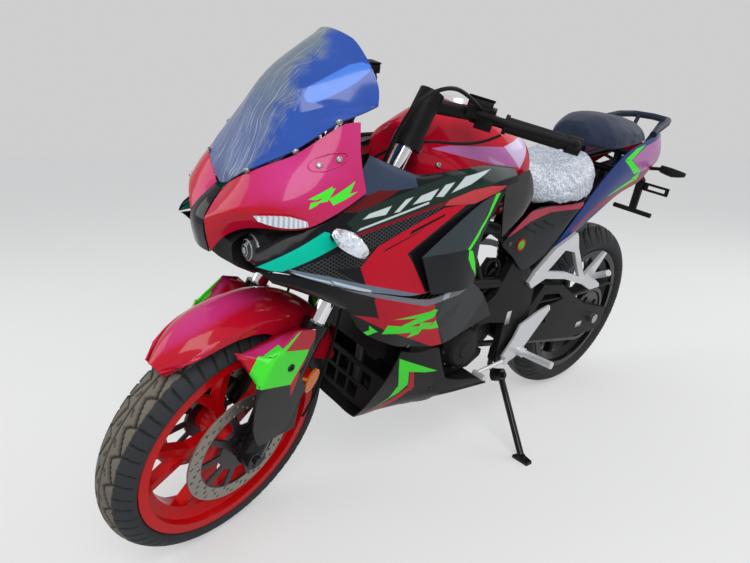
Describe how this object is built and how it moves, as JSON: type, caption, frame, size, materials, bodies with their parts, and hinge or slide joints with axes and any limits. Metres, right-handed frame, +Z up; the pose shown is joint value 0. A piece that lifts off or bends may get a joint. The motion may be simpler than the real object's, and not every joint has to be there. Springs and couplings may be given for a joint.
{
  "type": "sport bike",
  "caption": "Faired sport bike with cast wheels, leaning on its side stand with the bars turned left.",
  "frame": {"origin": "middle of the leaned bike's box, on the ground", "axes": "+X forward, +Y to the rider's left, +Z up"},
  "size_m": [1.9755, 0.744, 1.1345],
  "materials": {
    "frame_paint": "satin black paint",
    "black_paint": "gloss black paint",
    "steel": "bright worn steel",
    "engine_metal": "cast metal painted black",
    "alloy": "pale cast aluminium",
    "chrome": "hard chrome",
    "red_paint": "red lacquer",
    "red_panel": "glossy red plastic",
    "blue_panel": "glossy dark blue plastic",
    "black_plastic": "grained black plastic",
    "black_gloss": "gloss black plastic",
    "seat_cover": "dark seat covering",
    "screen": "smoked tinted screen",
    "lamp_glass": "clear lens",
    "red_lens": "red lens",
    "amber_lens": "amber lens",
    "grip_rubber": "ribbed rubber",
    "tyre": "road tyre",
    "red_wheel": "red cast wheel"
  },
  "bodies": {
    "chassis": {"frame_left": "frame_paint", "frame_right": "frame_paint", "head_tube": "frame_paint", "axle_bolts": "steel", "subframe": "frame_paint", "engine_block": "engine_metal", "engine_covers": "engine_metal", "radiator": "engine_metal", "exhaust_header": "steel", "muffler": "black_paint", "swingarm": "frame_paint", "chain": "steel", "drive_sprocket": "steel", "rear_shock": "black_paint", "stand_bracket": "frame_paint", "footrests": "alloy", "passenger_rests": "alloy", "fuel_tank": "red_paint", "fuel_cap": "alloy", "rider_seat": "seat_cover", "pillion_seat": "seat_cover", "windscreen": "screen", "nose_halves": "red_panel", "nose_centre_strip": "black_gloss", "lamp_mask": "black_plastic", "front_lamps": "lamp_glass", "side_fairings": "red_panel", "lower_fairings": "red_panel", "knee_panels": "black_plastic", "belly_pan": "black_plastic", "belly_grille": "black_plastic", "front_indicators": "lamp_glass", "rear_indicators": "black_plastic", "side_covers": "black_plastic", "tank_trims": "black_gloss", "tail_panels": "blue_panel", "undertray": "black_plastic", "tail_lamp": "red_lens", "grab_rail": "frame_paint", "rear_caliper": "black_paint"},
    "steering": {"fork_tubes": "chrome", "fork_sliders": "black_paint", "fork_yokes": "black_paint", "handlebars": "black_paint", "grips": "grip_rubber", "hand_controls": "black_plastic", "front_fender": "red_panel", "front_calipers": "black_paint", "fork_reflectors": "amber_lens"},
    "front_wheel": {"front_tyre": "tyre", "front_rim": "red_wheel", "front_discs": "steel"},
    "rear_wheel": {"rear_tyre": "tyre", "rear_rim": "black_paint", "rear_disc": "steel", "rear_sprocket": "steel"},
    "side_stand": {"side_stand": "black_paint"}
  },
  "joints": [
    {"name": "steering_turn", "type": "hinge", "parent": "chassis", "child": "steering", "pos_m": [0.46057, -0.02543, 0.68692], "axis": [-0.4285, 0.1927, 0.8828], "range_deg": [-39.87, 14.13]},
    {"name": "front_wheel_spin", "type": "hinge", "parent": "steering", "child": "front_wheel", "pos_m": [0.70544, -0.10518, 0.27644], "axis": [-0.2017, 0.9319, -0.3014], "continuous": true},
    {"name": "rear_wheel_spin", "type": "hinge", "parent": "chassis", "child": "rear_wheel", "pos_m": [-0.6695, -0.10829, 0.31046], "axis": [-0.0005, 0.9769, -0.2135], "continuous": true},
    {"name": "side_stand_fold", "type": "hinge", "parent": "chassis", "child": "side_stand", "pos_m": [-0.17277, -0.00399, 0.19644], "axis": [-0.2093, 0.954, 0.2144], "range_deg": [0, 102]}
  ]
}
